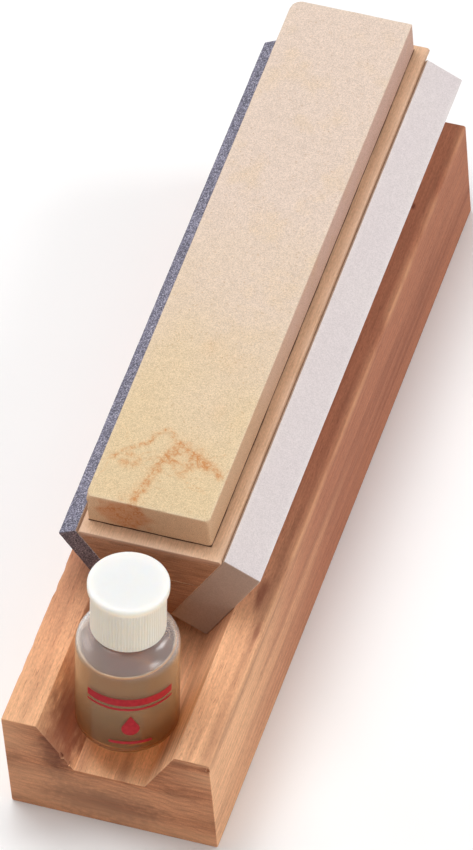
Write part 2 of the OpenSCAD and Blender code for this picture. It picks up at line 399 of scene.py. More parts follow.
def white_plastic():
    """Moulded white polypropylene with a faint grain; below the lid it carries a warm painted tint
    of light bounced from the wood.
    """
    sockets = {"Subsurface Weight": 0.8, "Subsurface Scale": 4 * MM, "IOR": 1.49}
    s = Surface("white_plastic", sockets)
    s.shader.inputs["Subsurface Radius"].default_value = (1.0, 0.8, 0.6)
    # Painted bounce light: the skirt is tinted warm peach as if lit by the wood; the lid stays
    # whiter.
    base = s.mix(s.noise(8), colour(254, 218, 194), colour(254, 226, 205))
    lid = s.span(s.axes(s.place)["Z"], CAP_TOP - RIM_H, CAP_TOP)
    base = s.mix(lid, base, colour(249, 240, 233))
    s.raise_by(s.noise(0.35), 0.012)
    return s.finish(base, scaled(s, s.noise(1.6), 0.36, 0.5))


def liner_foam():
    """Expanded foam: closed cells under a thin skin."""
    s = Surface("liner_foam", {"Specular IOR Level": 0.3})
    walls = s.span(s.cells(0.35, warp=0.0), 0.0, 0.25)
    base = s.mix(walls, colour(196, 194, 188), colour(228, 226, 220))
    s.raise_by(walls, 0.05)
    return s.finish(base, scaled(s, walls, 0.9, 0.7))


def red_print():
    """Screen-printed red ink, slightly thin in places."""
    s = Surface("red_print", {"Specular IOR Level": 0.3})
    thin = s.span(s.noise(0.9, detail=3.0), 0.35, 0.7)
    base = s.mix(thin, colour(162, 18, 30), colour(182, 34, 42))
    s.raise_by(s.noise(0.5), 0.01)
    return s.finish(base, scaled(s, thin, 0.35, 0.5))


# ---- mesh tools


def wander(points, size, seed):
    """Smooth noise from about -1 to 1 at each point, with features about `size` across."""
    shift = Vector((31.7, 12.9, 5.3)) * seed
    return np.array([noise.noise(Vector(p) / size + shift) for p in points])


def arc(centre, radii, start, end, steps):
    """Points on an ellipse's arc, from one angle to another in degrees."""
    (u, v), (wide, high) = centre, radii
    angles = np.radians(np.linspace(start, end, steps + 1))
    return [(u + wide * math.cos(a), v + high * math.sin(a)) for a in angles]


def filleted(corners, closed, steps=5):
    """An outline through corners of (u, v, radius), each rounded by its own radius."""
    outline = []
    count = len(corners)
    for i, (u, v, radius) in enumerate(corners):
        here = Vector((u, v))
        if radius == 0 or (not closed and i in (0, count - 1)):
            outline.append((u, v))
            continue
        back = (Vector(corners[i - 1][:2]) - here).normalized()
        ahead = (Vector(corners[(i + 1) % count][:2]) - here).normalized()
        half = back.angle(ahead) / 2
        middle = here + (back + ahead).normalized() * radius / math.sin(half)
        start = here + back * radius / math.tan(half) - middle
        end = here + ahead * radius / math.tan(half) - middle
        for k in range(steps + 1):
            spoke = start.lerp(end, k / steps).normalized() * radius
            outline.append(tuple(middle + spoke))
    return outline


def refined(outline, step, closed=False, fine=None):
    """Adds points so that no side is longer than step. `fine` is (low, high, step) for the
    part of the outline between two heights."""
    ends = outline[1:] + outline[:1] if closed else outline[1:]
    result = []
    for a, b in zip(outline, ends):
        span = step
        if fine and fine[0] < (a[1] + b[1]) / 2 < fine[1]:
            span = fine[2]
        parts = max(1, math.ceil(math.dist(a, b) / span))
        for k in range(parts):
            share = k / parts
            result.append((a[0] + (b[0] - a[0]) * share, a[1] + (b[1] - a[1]) * share))
    return result if closed else [*result, outline[-1]]


def revolved(outline, segments, loop=False, shape=None):
    """Points and faces of an outline of (radius, height) turned round z. `shape` may change
    a point's radius from its (radius, height, angle)."""
    points, rings, faces = [], [], []
    for radius, height in outline:
        count = 1 if radius == 0 else segments
        rings.append(range(len(points), len(points) + count))
        for k in range(count):
            angle = 2 * math.pi * k / segments
            reach = shape(radius, height, angle) if shape and radius else radius
            points.append((reach * math.cos(angle), reach * math.sin(angle), height))
    pairs = list(zip(rings, rings[1:]))
    if loop:
        pairs.append((rings[-1], rings[0]))
    for low, high in pairs:
        for k in range(segments):
            corners = (
                low[k % len(low)],
                low[(k + 1) % len(low)],
                high[(k + 1) % len(high)],
                high[k % len(high)],
            )
            faces.append(list(dict.fromkeys(corners)))
    return np.array(points), faces


def swept(outline, y_start, y_end, step, end_round):
    """Points and faces of a closed (x, z) outline run along y, its two ends eased over."""
    flat = np.array(outline)
    ahead = np.roll(flat, -1, 0) - flat
    ahead /= np.linalg.norm(ahead, axis=1)[:, None]
    behind = np.roll(ahead, 1, 0)
    inward = np.stack([-(ahead + behind)[:, 1], (ahead + behind)[:, 0]], 1)
    inward /= np.maximum(np.linalg.norm(inward, axis=1), 1e-9)[:, None]
    quarter = np.radians([0, 22.5, 45, 67.5, 90])
    easing = [(end_round * (1 - math.sin(a)), end_round * (1 - math.cos(a))) for a in quarter]
    middle = np.arange(y_start + end_round, y_end - end_round, step)[1:]
    stations = [(y_start + depth, inset) for inset, depth in easing]
    stations += [(y, 0.0) for y in middle]
    stations += [(y_end - depth, inset) for inset, depth in reversed(easing)]
    count = len(flat)
    points = np.zeros((len(stations) * count, 3))
    for i, (y, inset) in enumerate(stations):
        x, z = (flat + inward * inset).T
        points[i * count:(i + 1) * count] = np.stack([x, np.full(count, y), z], 1)
    near_end = tessellate_polygon([[Vector((x, z, 0)) for x, z in flat]])
    last = (len(stations) - 1) * count
    faces = [list(corners) for corners in near_end]
    faces += [[last + k for k in reversed(corners)] for corners in near_end]
    for i in range(len(stations) - 1):
        for k in range(count):
            a, b = i * count + k, i * count + (k + 1) % count
            faces.append([a, a + count, b + count, b])
    return points, faces


def grid_lines(half, step, near_step=None, near_reach=0.0):
    """Cutting planes across a box from -half to half, closer together beside both faces, and
    `near_step` apart over the first `near_reach`."""
    rim = [0.0, 0.14, 0.3, 0.5, 0.75, 1.05, 1.4, 1.85]
    inner = [rim[-1]]
    while inner[-1] < 2 * half - rim[-1]:
        inner.append(inner[-1] + (near_step if near_step and inner[-1] < near_reach else step))
    inner = inner[1:-1]
    return np.array([d - half for d in [*rim, *inner]] + [half - d for d in reversed(rim)])


def boxed(lines):
    """Points and faces of a box's surface cut by planes along x, y and z."""
    counts = [len(axis) for axis in lines]
    index, points, faces = {}, [], []

    def point(at):
        if at not in index:
            index[at] = len(points)
            points.append([lines[axis][i] for axis, i in enumerate(at)])
        return index[at]

    for axis in range(3):
        u, v = [a for a in range(3) if a != axis]
        for side in (0, counts[axis] - 1):
            for i in range(counts[u] - 1):
                for j in range(counts[v] - 1):
                    corners = []
                    for di, dj in ((0, 0), (1, 0), (1, 1), (0, 1)):
                        at = [0, 0, 0]
                        at[axis], at[u], at[v] = side, i + di, j + dj
                        corners.append(point(tuple(at)))
                    faces.append(corners)
    return np.array(points), faces


def ease_box(points, half, edge, corners, seed):
    """Rounds a box's upright corners by `corners`, a radius for each (sign x, sign y), and its
    other edges by about `edge`. Also returns how worn each point is."""
    signs = np.sign(points[:, :2])
    radius = np.array([corners[(1 if a > 0 else -1, 1 if b > 0 else -1)] for a, b in signs])
    hub = half[:2] - radius[:, None]
    spoke = np.maximum(np.abs(points[:, :2]) - hub, 0.0)
    length = np.linalg.norm(spoke, axis=1)
    in_corner = (spoke > 0).all(1)
    squeeze = np.where(in_corner, spoke.max(1) / np.maximum(length, 1e-9), 1.0)
    spoke *= squeeze[:, None]
    length *= squeeze
    flat = np.where(in_corner[:, None], signs * (hub + spoke), points[:, :2])
    gaps = half[:2] - np.abs(points[:, :2])
    nearest = gaps.argmin(1)
    outward = np.zeros_like(flat)
    rows = np.arange(len(points))
    outward[rows, nearest] = signs[rows, nearest]
    outward[in_corner] = (signs * spoke / np.maximum(length, 1e-9)[:, None])[in_corner]
    inset = np.where(in_corner, radius - length, gaps.min(1))
    depth = half[2] - np.abs(points[:, 2])

    worn = edge * (1 + 0.45 * wander(points, 7.0, seed) + 0.25 * wander(points, 1.8, seed + 1))
    a, b = np.maximum(worn - inset, 0), np.maximum(worn - depth, 0)
    reach = np.maximum(np.hypot(a, b), 1e-9)
    rounded = (a > 0) & (b > 0)
    new_inset = np.where(rounded, worn - worn * a / reach, inset)
    new_depth = np.where(rounded, worn - worn * b / reach, depth)
    flat += outward * (inset - new_inset)[:, None]
    result = np.column_stack([flat, np.sign(points[:, 2]) * (half[2] - new_depth)])
    near = np.exp(-np.hypot(inset, depth) / 0.7)
    return result, np.clip(near * (0.7 + 0.6 * wander(points, 4.0, seed + 2)), 0, 1)


def dented(points, dents):
    """Pushes points in around each (centre, radius, push)."""
    for centre, radius, push in dents:
        share = np.clip(1 - ((points - centre) ** 2).sum(1) / radius**2, 0, None) ** 2
        points = points + share[:, None] * np.array(push)
    return points


def new_mesh(name, points, faces, attributes=None):
    mesh = bpy.data.meshes.new(name)
    mesh.from_pydata((np.asarray(points) * MM).tolist(), [], faces)
    for key, values in (attributes or {}).items():
        layer = mesh.attributes.new(key, "FLOAT", "POINT")
        layer.data.foreach_set("value", np.asarray(values, np.float32))
    work = bmesh.new()
    work.from_mesh(mesh)
    bmesh.ops.recalc_face_normals(work, faces=work.faces)
    work.to_mesh(mesh)
    work.free()
    return mesh


def new_object(name, mesh, place=Matrix.Identity(4)):
    piece = bpy.data.objects.new(name, mesh)
    scene.collection.objects.link(piece)
    piece.matrix_world = place
    return piece


def carved(piece, cutters):
    """Cuts the cutters out of the piece for good and removes them."""
    for cutter in cutters:
        cut = piece.modifiers.new(cutter.name, "BOOLEAN")
        cut.operation, cut.solver, cut.object = "DIFFERENCE", "MANIFOLD", cutter
    shown = piece.evaluated_get(bpy.context.evaluated_depsgraph_get())
    mesh = bpy.data.meshes.new_from_object(shown)
    piece.modifiers.clear()
    piece.data = mesh
    for cutter in cutters:
        bpy.data.objects.remove(cutter)


def splinter(name, centre, size, seed):
    """A ragged sliver that cuts a chip out of an edge. `size` is its half length on each axis."""
    work = bmesh.new()
    bmesh.ops.create_icosphere(work, subdivisions=3, radius=1.0)
    for vertex in work.verts:
        rough = 1 + 0.3 * noise.noise(vertex.co * 1.7 + Vector((seed, 0, 0)))
        vertex.co = Vector([(c * s * rough + o) * MM for c, s, o in zip(vertex.co, size, centre)])
    mesh = bpy.data.meshes.new(name)
    work.to_mesh(mesh)
    work.free()
    return new_object(name, mesh)


def dress(mesh, material):
    """Gives a whole mesh one material."""
    mesh.materials.clear()
    mesh.materials.append(material)


def smooth(mesh):
    mesh.polygons.foreach_set("use_smooth", [True] * len(mesh.polygons))


def show(piece, body, node, material):
    """Puts a finished piece in its CAD node's place, on a body and with its material."""
    smooth(piece.data)
    piece.data.set_sharp_from_angle(angle=math.radians(SHARP_ABOVE))
    dress(piece.data, material)
    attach(piece, body)
    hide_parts(node)


def corners_of(node):
    """A CAD node's distinct vertices in millimetres."""
    co = np.array([v.co for v in frame["nodes"][node].data.vertices]) / MM
    return np.unique(co.round(3), axis=0)


def near_outline(node):
    """The distinct (x, z) corners on a CAD node's near end."""
    co = corners_of(node)
    return co[co[:, 1] < co[:, 1].min() + 0.01][:, [0, 2]]


# ---- cradle


def build_cradle():
    """The wooden block with its trough, dented along its top edges and chipped at its end."""
    low, high = (np.array(corner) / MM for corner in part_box("cradle"))
    half, top = high[0], high[2]
    rim = near_outline("cradle")
    trough = sorted(map(tuple, rim[np.abs(rim[:, 0]) < half - 1.0]))
    outer_round, trough_round = 0.7, 0.35
    outline = [(-half, 0, outer_round), (half, 0, outer_round), (half, top, outer_round)]
    outline += [(x, z, trough_round) for x, z in reversed(trough)]
    outline += [(-half, top, outer_round)]
    outline = refined(filleted(outline, closed=True), 2.4, closed=True)
    points, faces = swept(outline, low[1], high[1], step=2.6, end_round=0.4)

    sway = wander(points, 30.0, 1) * 0.05 + wander(points, 6.0, 2) * 0.02
    points[:, 2] += np.where(points[:, 2] < 1.0, 0.0, sway)
    draw = random.Random(11)
    dent_count, dent_depth, dents = 26, 0.25, []
    for _ in range(dent_count):
        side = draw.choice((-1, 1))
        along = draw.uniform(low[1] + 5, high[1] - 5)
        push = (-side * dent_depth, 0, -dent_depth)
        dents.append(((side * half, along, top), draw.uniform(2.0, 4.0), push))
    points = dented(points, dents)
    from_side = np.abs(points[:, 0]) - half
    from_near_end = points[:, 1] - low[1]
    from_top = points[:, 2] - top
    edge_gap = np.minimum.reduce([
        np.hypot(from_side, from_top),
        np.hypot(from_near_end, from_side),
        np.hypot(from_near_end, from_top),
    ])
    wear = np.exp(-edge_gap / 1.0) * np.clip(0.6 + wander(points, 9.0, 3), 0, 1)
    piece = new_object("trough_block", new_mesh("trough_block", points, faces, {"edge": wear}))
    near = low[1]
    chips = [
        splinter("chip_upper", (-14.4, near, 29.2), (0.9, 1.1, 1.5), 3.0),
        splinter("chip_lower", (-12.3, near, 25.6), (0.6, 1.4, 0.8), 5.0),
        splinter("chip_right", (31.9, near, 38.9), (0.7, 0.6, 1.0), 8.0),
    ]
    carved(piece, chips)
    show(piece, "cradle", "cradle", cradle_wood())


# ---- stone block

# Veins in the top stone, in millimetres from the middle of its near end:
# (width, strength, points along the vein)
VEINS = [
    (2.1, 0.85, [(-6, 0), (-4.4, 3), (-3.9, 7), (-3.2, 11), (-2, 15.6), (0, 20.6), (2.1, 25.6)]),
    (2.3, 0.85, [(2.1, 25.6), (5.8, 23.9), (9.8, 21.1), (13, 19.6)]),
    (1.5, 0.8, [(15.6, 18.6), (16.8, 17)]),
    (1.1, 0.75, [(2.1, 25.6), (0, 27.6), (-3.2, 29.2), (-6.2, 26.8), (-7.7, 22.9), (-10.9, 20.4),
                 (-16, 16)]),
    (2.4, 0.8, [(1.4, 23), (1, 20.2), (2.3, 18.2), (6.4, 18.2), (6.6, 20.6), (4.5, 23.1)]),
    (1.5, 0.6, [(4.4, 17.7), (4.7, 15), (7, 13.7)]),
    (1.6, 0.6, [(-11.8, 17.4), (-8.9, 16.3), (-10, 14), (-12.7, 14.5)]),
]
# Faint rusty clouds on the same face: (x, y, radius, strength)
CLOUDS = [(-5.5, 1.5, 4, 0.55), (5, 23.5, 5, 0.4), (-1, 63, 3.5, 0.25)]
CLOUDS += [(8, 59, 4, 0.2), (9, 41, 3, 0.25)]
# The rusty patch on its near end: (x, z, radius, strength)
END_STAIN = (-7.5, 0.0, 8.5, 0.85)
HAIRS_PER_VEIN = 5


def distance_to_path(points, path):
    """Each (x, y) point's distance to the nearest side of a path."""
    nearest = np.full(len(points), 1e9)
    for a, b in zip(np.array(path, float), np.array(path[1:], float)):
        side = b - a
        share = np.clip((points - a) @ side / (side @ side), 0, 1)
        nearest = np.minimum(nearest, np.linalg.norm(points - a - share[:, None] * side, axis=1))
    return nearest


def crackle(draw, path, count):
    """Hair veins that leave a vein at random places and wander off."""
    branches = []
    for _ in range(count):
        x, y = draw.choice(path)
        heading = draw.uniform(0, 2 * math.pi)
        branch = [(x, y)]
        for _ in range(draw.randint(2, 5)):
            heading += draw.uniform(-0.8, 0.8)
            stride = draw.uniform(1.2, 3.0)
            x, y = x + stride * math.cos(heading), y + stride * math.sin(heading)
            branch.append((x, y))
        branches.append((draw.uniform(0.22, 0.34), draw.uniform(0.3, 0.6), branch))
    return branches


def vein_stain(points, half):
    """How strongly each point of the top stone is stained, from 0 to 1."""
    near = -half[1]
    flat = points[:, :2] - [0, near]
    flat = flat + 0.55 * np.column_stack([wander(points, 2.4, 21), wander(points, 2.4, 22)])
    flat += 0.9 * np.column_stack([wander(points, 8.0, 23), wander(points, 8.0, 24)])
    draw = random.Random(4)
    veins = list(VEINS)
    for _, _, path in VEINS:
        veins += crackle(draw, path, HAIRS_PER_VEIN)
    stain = np.zeros(len(points))
    on_top = points[:, 2] > half[2] - 1.5
    for width, strength, path in veins:
        line = strength * np.exp(-((distance_to_path(flat, path) / width) ** 2))
        stain = np.maximum(stain, np.where(on_top, line, 0))
    for x, y, radius, strength in CLOUDS:
        cloud = strength * np.exp(-(((flat - [x, y]) ** 2).sum(1)) / radius**2)
        stain = np.maximum(stain, np.where(on_top, cloud, 0))
    x, z, radius, strength = END_STAIN
    reach = np.hypot(points[:, 0] - x, (points[:, 2] - z) * 1.3) / radius
    reach += 0.35 * wander(points, 3.0, 25)
    on_end = points[:, 1] < near + 1.2
    patch = strength * np.clip((1.15 - reach) * 2.5, 0, 1)
    return np.clip(np.maximum(stain, np.where(on_end, patch, 0)), 0, 1)


def face_frame(node, turn):
    """Half the size and the place of a stone or glue bed in a frame with z out of the block's
    face, which lies at `turn` degrees round Y from the top one."""
    spin = Matrix.Rotation(math.radians(turn), 3, "Y")
    local = corners_of(node) @ np.array(spin)
    low, high = local.min(0), local.max(0)
    place = spin.to_4x4() @ Matrix.Translation(Vector((low + high) / 2) * MM)
    return (high - low) / 2, place


def build_stone(side, turn, tone, material, edge, corners, dents=(), veined=False):
    """A bench stone with worn edges, with a finer mesh near one end where it is veined."""
    name, node = f"bench_stone_{tone}", f"{side}_stone"
    half, place = face_frame(node, turn)
    vein_step, veined_length = 0.55, 46.0
    across = grid_lines(half[0], vein_step if veined else 1.8)
    along = grid_lines(half[1], 2.0, vein_step if veined else None, veined_length)
    upright = grid_lines(half[2], 1.2)
    points, faces = boxed([across, along, upright])
    rounded, wear = ease_box(points, half, edge, corners, seed=len(name))
    attributes = {"edge": wear}
    if veined:
        attributes["stain"] = vein_stain(rounded, half)
    rounded = dented(rounded, dents)
    piece = new_object(name, new_mesh(name, rounded, faces, attributes), place)
    show(piece, "stone_block", node, material)


def build_adhesive(name, node, turn, material, spread, seed):
    """A thin bed of glue, squeezed out by about `spread` to a wavering edge."""
    half, place = face_frame(node, turn)
    step = 1.5
    across, along = (np.linspace(-h, h, round(h * 2 / step) + 1) for h in half[:2])
    points, faces = boxed([across, along, np.linspace(-half[2], half[2], 3)])
    for axis in (0, 1):
        rim = np.sign(points[:, axis]) * (np.abs(points[:, axis]) / half[axis]) ** 8
        wave = wander(points * [1, 1, 0.1], 5.0, seed + axis)
        points[:, axis] += rim * (spread + 0.18 * wave)
    piece = new_object(name, new_mesh(name, points, faces), place)
    show(piece, "stone_block", node, material)


def build_core():
    """The three-sided wooden core, with a drying check and a tear in its near end."""
    low, high = (np.array(corner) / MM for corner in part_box("stone_core"))
    rim = near_outline("stone_core")
    middle = rim.mean(0)
    turn = np.arctan2(rim[:, 1] - middle[1], rim[:, 0] - middle[0])
    outline = [(x, z, 0.35) for x, z in rim[turn.argsort()]]
    outline = refined(filleted(outline, closed=True), 2.2, closed=True)
    points, faces = swept(outline, low[1], high[1], step=2.6, end_round=0.35)
    from_side = np.abs(points[:, 0] - middle[0]) - (high[0] - low[0]) / 2
    from_top = points[:, 2] - high[2]
    side_gap = np.hypot(from_side, from_top)
    end_gap = np.hypot(points[:, 1] - low[1], from_top)
    patchy = np.clip(0.8 + wander(points, 8, 9), 0, 1)
    wear = np.exp(-np.minimum(side_gap, end_gap) / 1.2) * patchy
    piece = new_object("block_core", new_mesh("block_core", points, faces, {"edge": wear}))
    check = splinter("end_check", (low[0] + 9.5, low[1], high[2] - 1.9), (5.2, 2.6, 0.13), 2.0)
    tear = splinter("end_tear", (high[0] - 12.5, low[1], high[2] - 14.2), (6.0, 0.5, 0.14), 6.0)
    carved(piece, [check, tear])
    show(piece, "stone_block", "stone_core", core_wood())


def build_block():
    """The core with its three stones and the glue that holds them."""
    build_core()
    top_low, top_high = (np.array(corner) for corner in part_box("top_stone"))
    x, y, z = (top_high - top_low) / MM / 2
    nicks = [
        ((-x, -y, z), 2.2, (0.5, 0.35, -0.4)),
        ((-x, -y, 1.5), 1.8, (0.45, 0.2, 0)),
        ((x, -y, z), 1.6, (-0.25, 0.2, -0.2)),
        ((4.0, -y, z), 1.5, (0, 0.25, -0.15)),
    ]
    square = dict.fromkeys([(-1, -1), (1, -1), (-1, 1), (1, 1)], 0.5)
    worn = square | {(1, -1): 1.2, (-1, 1): 3.6}
    build_stone("top", 0, "cream", cream_stone(), 0.38, worn, nicks, veined=True)
    build_stone("right", 120, "white", white_stone(), 0.25, square)
    build_stone("left", -120, "grey", grey_stone(), 0.35, square)
    # The glue under the top stone is made dark to draw the line under that stone: partly a dark
    # glue joint, partly painted shadow.
    darkened_with_painted_shade = adhesive("adhesive_dark_painted_shadow", colour(58, 34, 22), colour(112, 74, 50))
    clean = adhesive("adhesive_clean", colour(150, 122, 104), colour(176, 148, 126))
    beds = [("top", 0, darkened_with_painted_shade, 1.25), ("right", 120, clean, 1.05), ("left", -120, clean, 1.05)]
    for seed, (side, turn, glue, spread) in zip((91, 94, 97), beds):
        build_adhesive(f"glue_bed_{side}", f"{side}_adhesive", turn, glue, spread, seed)


# ---- bottle

# Sizes of the bottle, cap and thread, as the CAD model has them
BOTTLE_R, BOTTLE_WALL, HEEL_R = 15.6, 1.1, 3.5
BASE_T, PUSH_UP = 1.4, 0.7
SHOULDER_Z, NECK_Z, NECK_TOP = 33.4, 40.9, 56.4
NECK_R, NECK_BORE_R = 8.9, 7.6
PITCH, THREAD_H, THREAD_Z, THREAD_TURNS = 3.175, 1.0, 48.8, 1.25
CAP_BOTTOM, CAP_TOP, CAP_LID_T = 41.4, 60.0, 1.6
CAP_R, CAP_BORE_R, RIM_R, RIM_H, RIM_FLARE = 11.3, 10.3, 12.2, 2.6, 0.9
RIBS, RIB_DEPTH = 80, 0.25
CAP_THREAD_TURNS = 1.1
PLUG_FLANGE_T, PLUG_DEPTH, PLUG_SKIRT_R, PLUG_WEB_T, ORIFICE_R = 0.8, 6.0, 5.6, 1.2, 0.8
LINER_R, LINER_T, LINER_GAP = 10.1, 1.0, 0.1
# The thread's bead: half its width, its flank's width, and the turn over which its ends rise
BEAD_HALF_W, BEAD_FLANK_W, BEAD_LEAD_IN = 0.78, 0.42, 1 / 8


def bottle_frame():
    """The bottle's frame, z along its axis from the middle of its base, from the cap's joint."""
    joint = next(j for j in frame["joints"] if j["name"] == "cap_turn")
    up = Vector(joint["axis"]).normalized()
    across = Vector((0, 1, 0)).cross(up).normalized()
    turned = Matrix((across, up.cross(across), up)).transposed()
    return Matrix.Translation(joint["pos_m"]) @ turned.to_4x4()


def thread_height(angle, height, start, turns):
    """Height from 0 to 1 of a rounded thread wound round z, at an angle and a height."""
    tallest = 0.0
    for lap in range(math.ceil(turns) + 1):
        along = angle / (2 * math.pi) + lap
        if along > turns:
            break
        fade = min(1.0, along / BEAD_LEAD_IN, (turns - along) / BEAD_LEAD_IN)
        gap = abs(height - start - PITCH * along)
        flank = min(1.0, max(0.0, (BEAD_HALF_W - gap) / BEAD_FLANK_W))
        tallest = max(tallest, fade * flank)
    return tallest * tallest * (3 - 2 * tallest)


def inside_outline(gap=0.0):
    """Outline of the space in the bottle's body, from the axis up to the foot of the neck."""
    radius = BOTTLE_R - BOTTLE_WALL - gap
    heel = HEEL_R - BOTTLE_WALL
    floor = BASE_T + PUSH_UP + gap
    shoulder = (radius - NECK_BORE_R, NECK_Z - SHOULDER_Z - BOTTLE_WALL - gap)
    return [
        (0, floor),
        (radius - heel - 1, floor),
        *arc((radius - heel, BASE_T + heel + gap), (heel, heel), -90, 0, 10),
        *arc((NECK_BORE_R, SHOULDER_Z), shoulder, 0, 90, 24),
    ]


def build_bottle(place):
    """The blown bottle: a thin wall with a pushed-up base, a mould seam and a thread."""
    heel_mid = BOTTLE_R - HEEL_R
    outside = [
        (0, PUSH_UP),
        (heel_mid - 2.4, PUSH_UP),
        (heel_mid - 1.2, PUSH_UP * 0.8),
        *arc((heel_mid, HEEL_R), (HEEL_R, HEEL_R), -90, 0, 12),
        *arc((NECK_R, SHOULDER_Z), (BOTTLE_R - NECK_R, NECK_Z - SHOULDER_Z), 0, 90, 26),
        (NECK_R, NECK_TOP - 0.3),
        (NECK_R - 0.3, NECK_TOP),
        (NECK_BORE_R + 0.2, NECK_TOP),
        (NECK_BORE_R, NECK_TOP - 0.2),
    ]
    outline = outside + inside_outline()[::-1]
    threaded = (THREAD_Z - 1, THREAD_Z + PITCH * THREAD_TURNS + 1, 0.22)
    outline = refined(outline, 1.6, fine=threaded)
    seam_depth, seam_width = 0.07, 0.35

    def shape(radius, height, angle):
        if radius >= NECK_R - 0.01 and height > NECK_Z:
            lift = thread_height(angle, height, THREAD_Z, THREAD_TURNS)
            return radius + THREAD_H * lift
        if HEEL_R < height < NECK_Z and radius > BOTTLE_R - BOTTLE_WALL / 2:
            from_seam = min(angle % math.pi, math.pi - angle % math.pi) * radius
            return radius + seam_depth * math.exp(-((from_seam / seam_width) ** 2))
        return radius

    points, faces = revolved(outline, 240, shape=shape)
    piece = new_object("flask", new_mesh("flask", points, faces), place)
    show(piece, "bottle", "bottle", bottle_plastic())


def oil_level(place):
    """A point on the oil's level surface and the way up, both in the bottle's frame."""
    up = place.to_3x3().transposed() @ Vector((0, 0, 1))
    x, y, _ = place.translation
    return place.inverted() @ Vector((x, y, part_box("honing_oil")[1].z)), up


def build_oil(place):
    """Oil up to a level surface with a meniscus that climbs the wall."""
    outline = inside_outline(gap=0.06)
    outline.append((0, outline[-1][1]))
    points, faces = revolved(refined(outline, 1.6), 160)
    mesh = new_mesh("flask_oil", points, faces)
    surface, up = oil_level(place)
    climb, run = 0.9 * MM, 1.4 * MM
    work = bmesh.new()
    work.from_mesh(mesh)
    everything = [*work.verts, *work.edges, *work.faces]
    bmesh.ops.bisect_plane(work, geom=everything, plane_co=surface, plane_no=up, clear_outer=True)
    rim = [edge for edge in work.edges if edge.is_boundary]
    top = bmesh.ops.contextual_create(work, geom=rim)["faces"]
    for share in (0.6, 0.3, 0.1):
        bmesh.ops.inset_region(work, faces=top, thickness=run / 3, depth=-climb * share)
    bmesh.ops.recalc_face_normals(work, faces=work.faces)
    work.to_mesh(mesh)
    work.free()
    piece = new_object("flask_oil", mesh, place)
    show(piece, "bottle", "honing_oil", oil())


def build_meniscus_highlight(place):
    """A pale bead on the oil's rim where its level meets the wall: a painted highlight standing in
    for the meniscus's bright line.
    """
    surface, up = oil_level(place)
    middle = surface / MM
    thick, around, turns = 0.3, 8, 180
    inner, rise = BOTTLE_R - BOTTLE_WALL, NECK_Z - SHOULDER_Z - BOTTLE_WALL
    points, faces = [], []
    for k in range(turns):
        angle = 2 * math.pi * k / turns
        spoke = Vector((math.cos(angle), math.sin(angle), 0))
        radius = inner
        for _ in range(6):
            height = middle.z - radius * spoke.dot(up) / up.z + 0.1
            over = min(1.0, max(0.0, (height - SHOULDER_Z) / rise))
            radius = NECK_BORE_R + (inner - NECK_BORE_R) * math.sqrt(1 - over * over)
        bead = thick * (1 + 0.35 * noise.noise(spoke * 6))
        centre = spoke * (radius - bead - 0.1) + Vector((0, 0, height))
        for j in range(around):
            turn = 2 * math.pi * j / around
            points.append(centre + bead * (spoke * math.cos(turn) + Vector((0, 0, math.sin(turn)))))
            a, b = k * around, (k + 1) % turns * around
            faces.append([a + j, b + j, b + (j + 1) % around, a + (j + 1) % around])
    # Pale, glossy material: a painted highlight along the meniscus.
    s = Surface("meniscus_highlight", {"Specular IOR Level": 0.6})
    base = s.mix(s.noise(0.8), colour(226, 206, 176), colour(252, 242, 224))
    s.raise_by(s.noise(0.3), 0.05)
    meniscus_glint = s.finish(base, scaled(s, s.noise(0.5), 0.15, 0.35))
    piece = new_object("meniscus_highlight_bead", new_mesh("meniscus_highlight_bead", points, faces), place)
    smooth(piece.data)
    dress(piece.data, meniscus_glint)
    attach(piece, "bottle")


def build_plug(place, material):
    """The plug in the neck: a flange, a hollow skirt and a web with the dripping hole."""
    bottom = NECK_TOP - PLUG_DEPTH
    web = NECK_TOP + PLUG_FLANGE_T - PLUG_WEB_T
    corners = [
        (ORIFICE_R, web, 0.2),
        (ORIFICE_R, NECK_TOP + PLUG_FLANGE_T, 0.35),
        (NECK_R, NECK_TOP + PLUG_FLANGE_T, 0.25),
        (NECK_R, NECK_TOP, 0.1),
        (NECK_BORE_R, NECK_TOP, 0.1),
        (NECK_BORE_R, bottom, 0.4),
        (PLUG_SKIRT_R, bottom, 0.3),
        (PLUG_SKIRT_R, web, 0.6),
    ]
    outline = refined(filleted(corners, closed=True), 1.2, closed=True)
    points, faces = revolved(outline, 96, loop=True)
    piece = new_object("dropper_plug", new_mesh("dropper_plug", points, faces), place)
    show(piece, "bottle", "orifice_plug", material)


def build_liner(place):
    """The sealing disc in the cap's lid, with the groove that the neck has pressed into it."""
    top = CAP_TOP - CAP_LID_T - LINER_GAP
    corners = [
        (0, top - LINER_T, 0),
        (LINER_R, top - LINER_T, 0.3),
        (LINER_R, top, 0.3),
        (0, top, 0),
    ]
    outline = refined(filleted(corners, closed=False), 0.7)

    def shape(radius, height, angle):
        return radius + 0.05 * math.sin(5 * angle) * (radius / LINER_R) ** 6

    points, faces = revolved(outline, 120, shape=shape)
    pressed = np.hypot(points[:, 0], points[:, 1])
    groove = np.exp(-(((pressed - NECK_R + 0.6) / 0.5) ** 2))
    under = points[:, 2] < top - LINER_T / 2
    points[:, 2] += np.where(under, 0.12 * groove, 0.0)
    piece = new_object("sealing_disc", new_mesh("sealing_disc", points, faces), place)
    show(piece, "cap_liner", "cap_liner", liner_foam())


